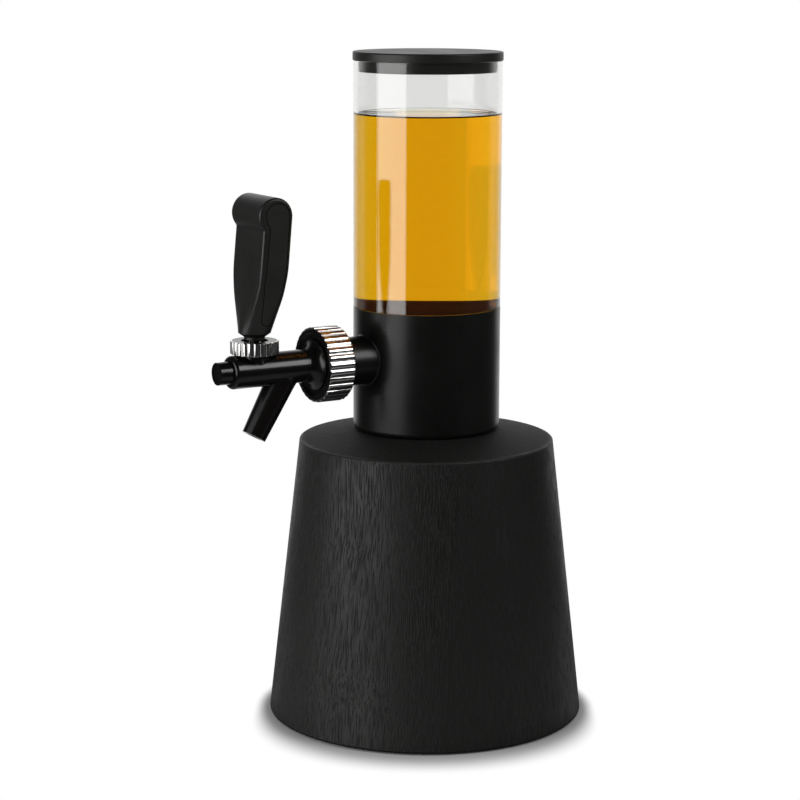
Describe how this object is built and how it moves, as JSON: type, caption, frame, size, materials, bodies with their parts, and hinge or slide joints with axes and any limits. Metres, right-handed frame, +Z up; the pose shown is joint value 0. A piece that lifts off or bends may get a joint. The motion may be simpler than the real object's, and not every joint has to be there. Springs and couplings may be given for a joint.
{
  "type": "beer tower dispenser",
  "caption": "Tabletop drink tower: clear tube in a black socket on a tapered wooden block, with a lever tap, a slanted spout and a loose lid.",
  "frame": {"origin": "centre of the underside of the anti-slip pad, on the tube's axis", "axes": "+Z up along the tube's axis, -Y along the tap, away from the tower; X across the tap"},
  "size_m": [0.2058, 0.2554, 0.4326],
  "materials": {
    "stained_wood": "black stain, open grain",
    "eva_pad": "matte",
    "zinc_steel": "zinc plated",
    "brass": "turned",
    "satin_black": "satin",
    "rubber": "matte",
    "clear_acrylic": "polished, clear",
    "beer": "clear amber liquid",
    "lid_black": "satin",
    "gloss_black": "gloss",
    "chrome": "bright",
    "stainless": "turned",
    "nylon": "natural",
    "handle_black": "satin"
  },
  "bodies": {
    "tower": {"base_block": "stained_wood", "anti_slip_pad": "eva_pad", "tower_bolt": "zinc_steel", "bolt_washer": "zinc_steel", "socket_insert": "brass", "socket": "satin_black", "tube_gasket": "rubber", "clear_tube": "clear_acrylic", "beer_fill": "beer", "tap_body": "gloss_black", "inlet_washer": "rubber", "ball_seat": "nylon", "bonnet_washer": "nylon"},
    "lid": {"lid_cap": "lid_black"},
    "lever": {"lever_stem": "stainless", "handle_insert": "brass", "handle_grip": "handle_black", "handle_panel_left": "handle_black", "handle_panel_right": "handle_black"},
    "plunger": {"plunger_shaft": "gloss_black", "plunger_seal": "rubber", "seal_screw": "stainless", "plunger_o_rings": "rubber"},
    "coupling_nut": {"coupling_nut_core": "gloss_black", "coupling_nut_sleeve": "chrome"},
    "bonnet": {"bonnet_core": "gloss_black", "bonnet_sleeve": "chrome"}
  },
  "joints": [
    {"name": "lever_tilt", "type": "hinge", "parent": "tower", "child": "lever", "pos_m": [0, -0.126, 0.2525], "axis": [1, 0, 0], "range_deg": [0, 15]},
    {"name": "plunger_slide", "type": "slide", "parent": "tower", "child": "plunger", "axis": [0, 1, 0], "range_m": [0, 0.00376]},
    {"name": "lid_lift", "type": "slide", "parent": "tower", "child": "lid", "axis": [0, 0, 1], "range_m": [0, 0.06]},
    {"name": "coupling_nut_turn", "type": "hinge", "parent": "tower", "child": "coupling_nut", "pos_m": [0, -0.0755, 0.238], "axis": [0, 1, 0], "continuous": true},
    {"name": "bonnet_turn", "type": "hinge", "parent": "tower", "child": "bonnet", "pos_m": [0, -0.126, 0.2525], "axis": [0, 0, 1], "continuous": true}
  ],
  "couplings": [
    {"joint": "plunger_slide", "follows": "lever_tilt", "m_per_rad": 0.014335}
  ]
}
